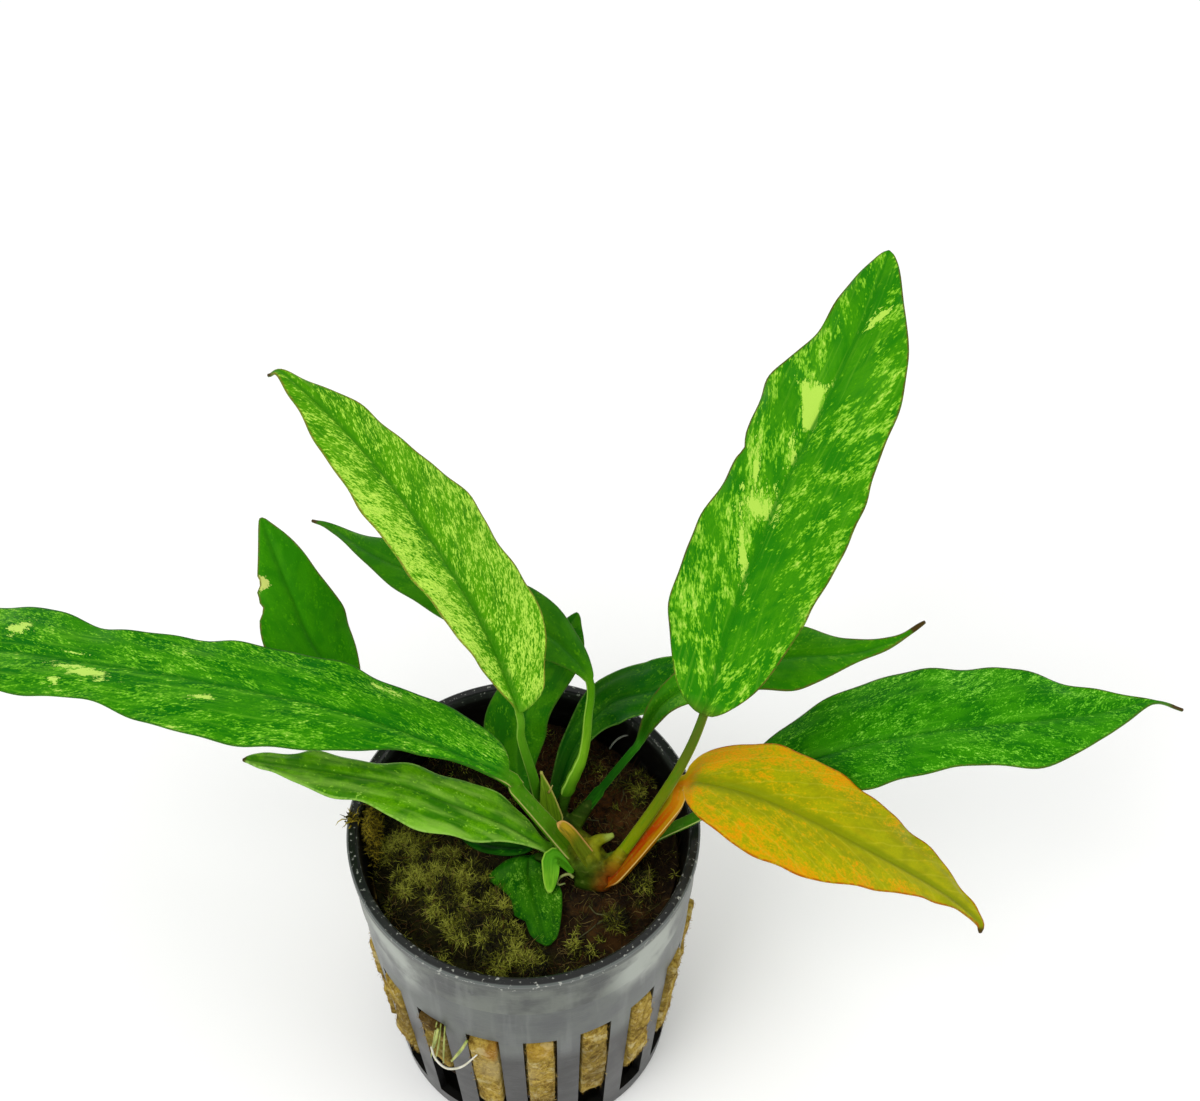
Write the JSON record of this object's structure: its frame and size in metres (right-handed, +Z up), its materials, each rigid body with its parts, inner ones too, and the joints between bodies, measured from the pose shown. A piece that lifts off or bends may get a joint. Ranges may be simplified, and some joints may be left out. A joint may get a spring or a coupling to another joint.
{
  "type": "variegated anubias minima in a net pot",
  "caption": "Creeping water plant with long variegated leaves and one yellow leaf, rooted in a rock wool plug in a round slotted black net pot.",
  "frame": {"origin": "middle of the pot's flat underside, on the surface that it stands on", "axes": "+Z up, along the pot's axis; -Y is the front, which the picture looks at from above; +X is to its right"},
  "size_m": [0.1788, 0.0674, 0.1263],
  "materials": {
    "pot_plastic": "semi-gloss moulded plastic, scuffed on the rim",
    "rock_wool": "matte mineral fibre, mossy on top",
    "rhizome": "satin green stem",
    "leaf_variegated": "glossy leaf, green with yellow-green flecks",
    "leaf_green": "glossy plain green leaf",
    "leaf_yellow": "satin yellow leaf mottled with orange",
    "sheath": "satin leaf sheath",
    "root": "satin root"
  },
  "bodies": {
    "root": {"pot": "pot_plastic", "rock_wool": "rock_wool", "rhizome": "rhizome", "leaf_tall": "leaf_variegated", "leaf_upper_left": "leaf_variegated", "leaf_long_left": "leaf_variegated", "leaf_lower_left": "leaf_green", "leaf_yellow": "leaf_yellow", "leaf_long_right": "leaf_variegated", "leaf_twisted": "leaf_green", "leaf_back_right": "leaf_green", "leaf_arched": "leaf_green", "leaf_back_centre": "leaf_green", "leaf_back_left": "leaf_green", "leaf_small_front": "leaf_green", "leaf_small_left": "leaf_green", "bract_curled": "sheath", "sheath_pale": "sheath", "sheath_orange": "sheath", "root_left": "root", "root_middle": "root", "root_white": "root"}
  },
  "joints": []
}
